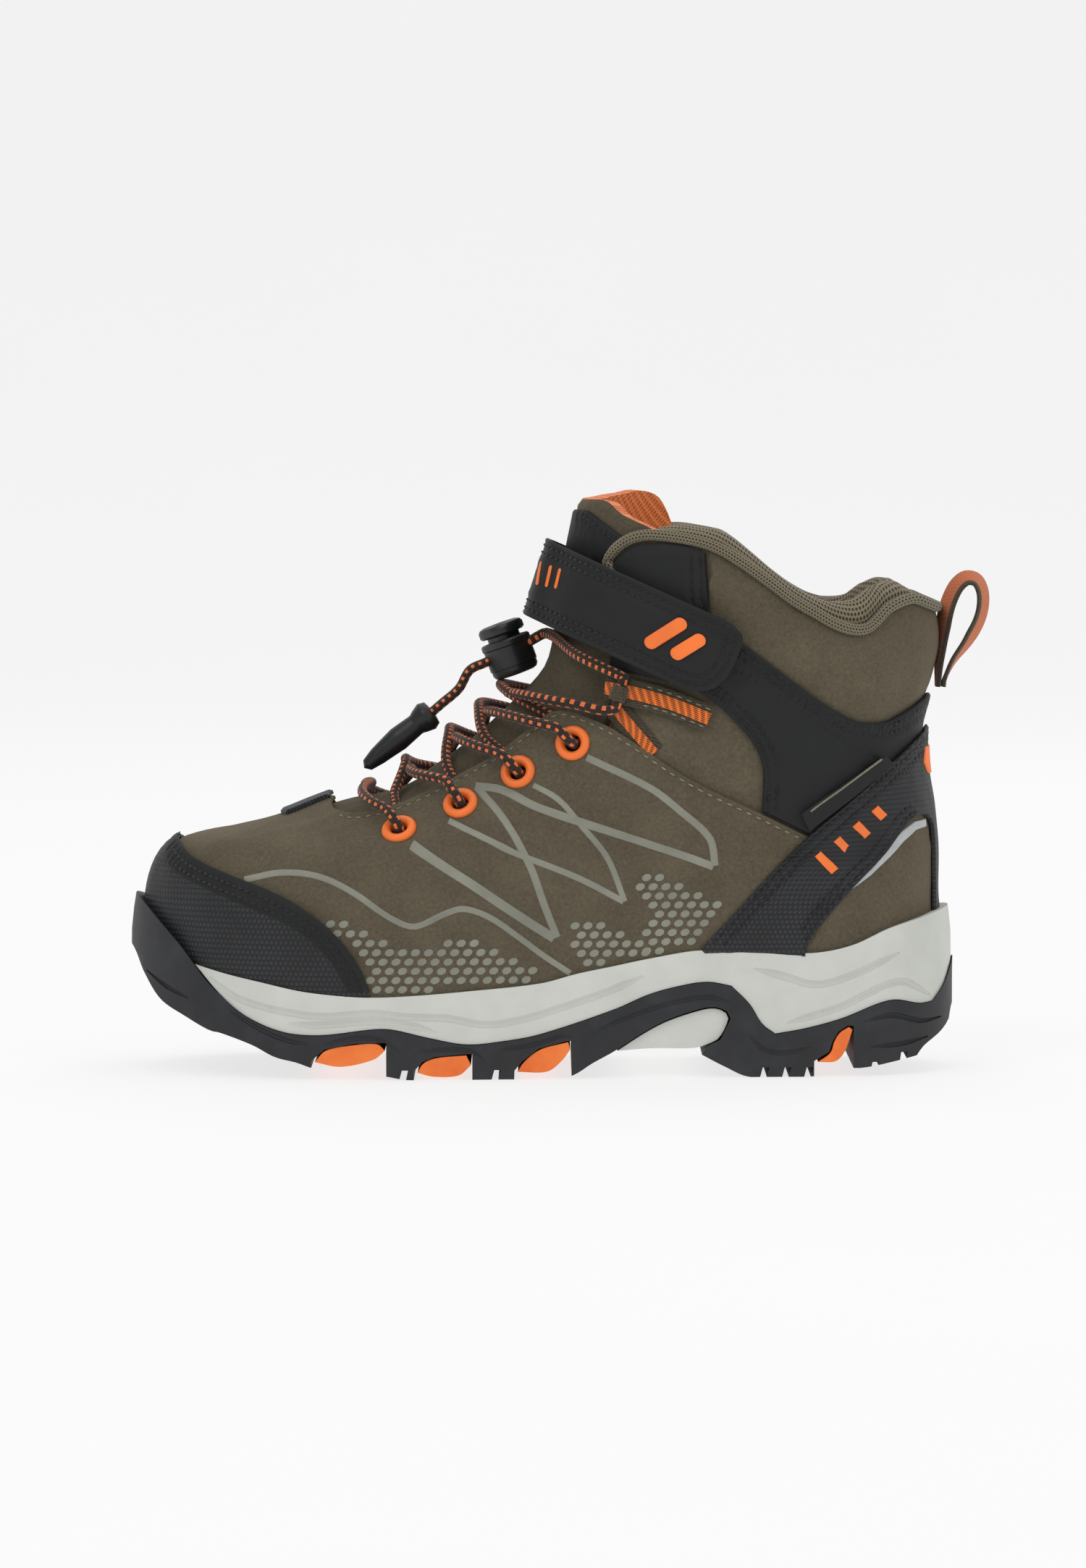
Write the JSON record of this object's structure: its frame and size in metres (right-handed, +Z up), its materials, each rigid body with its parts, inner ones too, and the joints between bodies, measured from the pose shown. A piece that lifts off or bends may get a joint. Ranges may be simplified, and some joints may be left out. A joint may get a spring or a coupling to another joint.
{
  "type": "hiking boot",
  "caption": "Child's mid-height hiking boot, left foot, with toggle-locked elastic lacing, a hook-and-loop closure strap, a padded cuff with heel pull loop, and a lugged sole",
  "frame": {"origin": "on the ground plane, under the middle of the boot's bounding box", "axes": "+Z up, toe toward -X and heel toward +X, lateral side toward -Y, medial side toward +Y"},
  "size_m": [0.2359, 0.091, 0.1575],
  "materials": {
    "black_rubber": "matte moulded rubber",
    "orange_rubber": "moulded rubber",
    "grey_foam": "moulded foam with fine stipple",
    "spring_steel": "bare steel",
    "fibre_board": "pressed fibre",
    "knit_lining": "knitted mesh",
    "olive_softshell": "brushed softshell",
    "woven_overlay": "coated coarse weave",
    "black_overlay": "smooth coated microfibre",
    "reflective_piping": "reflective film",
    "orange_plastic": "moulded",
    "orange_mesh": "open webbing",
    "lace_cord": "braided elastic cord",
    "black_plastic": "fine spark texture",
    "hook_tape": "hook and loop tape",
    "webbing": "flat woven tape"
  },
  "bodies": {
    "boot": {"outsole": "black_rubber", "tread_insert_1": "orange_rubber", "tread_insert_2": "orange_rubber", "tread_insert_3": "orange_rubber", "tread_insert_4": "orange_rubber", "midsole": "grey_foam", "arch_bridge": "grey_foam", "shank": "spring_steel", "insole_board": "fibre_board", "sockliner": "knit_lining", "vamp_quarter": "olive_softshell", "shaft_panel": "olive_softshell", "toe_puff": "fibre_board", "heel_counter": "fibre_board", "lining": "knit_lining", "collar_pad": "knit_lining", "collar_binding": "knit_lining", "toe_cap": "woven_overlay", "ankle_overlay": "black_overlay", "heel_brace": "woven_overlay", "heel_piping_lateral": "reflective_piping", "heel_piping_medial": "reflective_piping", "heel_mark": "orange_plastic", "side_tag": "black_overlay", "throat_tab": "black_overlay", "eyelet_lateral_1": "orange_plastic", "eyelet_lateral_2": "orange_plastic", "eyelet_lateral_3": "orange_plastic", "eyelet_lateral_4": "orange_plastic", "eyelet_medial_1": "orange_plastic", "eyelet_medial_2": "orange_plastic", "eyelet_medial_3": "orange_plastic", "eyelet_medial_4": "orange_plastic", "lace_loop_lateral": "orange_mesh", "lace_loop_medial": "orange_mesh", "lace": "lace_cord", "lace_tail_lateral": "lace_cord", "lace_tail_medial": "lace_cord", "lace_end": "black_plastic", "strap_anchor": "black_overlay", "loop_patch": "hook_tape"},
    "strap_front": {"strap_band": "black_overlay"},
    "strap_end": {"strap_tab": "black_overlay", "strap_bar_1": "orange_plastic", "strap_bar_2": "orange_plastic", "hook_patch": "hook_tape"},
    "cord_lock": {"lock_barrel": "black_plastic", "lock_spring": "spring_steel"},
    "cord_lock_button": {"lock_button": "black_plastic"},
    "tongue": {"tongue": "olive_softshell", "tongue_patch": "black_overlay"},
    "pull_loop": {"pull_loop": "webbing"}
  },
  "joints": [
    {"name": "strap_swing", "type": "hinge", "parent": "boot", "child": "strap_front", "pos_m": [0.03515, 0.038, 0.1172], "axis": [-0.3, 0, -0.9539], "range_deg": [0, 40]},
    {"name": "strap_peel", "type": "hinge", "parent": "strap_front", "child": "strap_end", "pos_m": [0.00414, -0.02395, 0.13052], "axis": [-0.3, 0, -0.9539], "range_deg": [0, 100]},
    {"name": "lock_slide", "type": "slide", "parent": "boot", "child": "cord_lock", "axis": [-0.9, 0, -0.436], "range_m": [0, 0.002]},
    {"name": "lock_press", "type": "slide", "parent": "cord_lock", "child": "cord_lock_button", "axis": [0.3401, 0, -0.9404], "range_m": [0, 0.0012], "stiffness_N_per_m": 400, "springref_m": -0.001, "deforming": ["lock_spring"]},
    {"name": "tongue_tilt", "type": "hinge", "parent": "boot", "child": "tongue", "pos_m": [-0.05685, 0, 0.066], "axis": [0, 1, 0], "range_deg": [0, 6]},
    {"name": "pull_loop_fold", "type": "hinge", "parent": "boot", "child": "pull_loop", "pos_m": [0.10555, 0, 0.1046], "axis": [0, 1, 0], "range_deg": [0, 70]}
  ],
  "couplings": [
    {"joint": "strap_swing", "follows": "strap_peel", "ratio": 0.4}
  ]
}
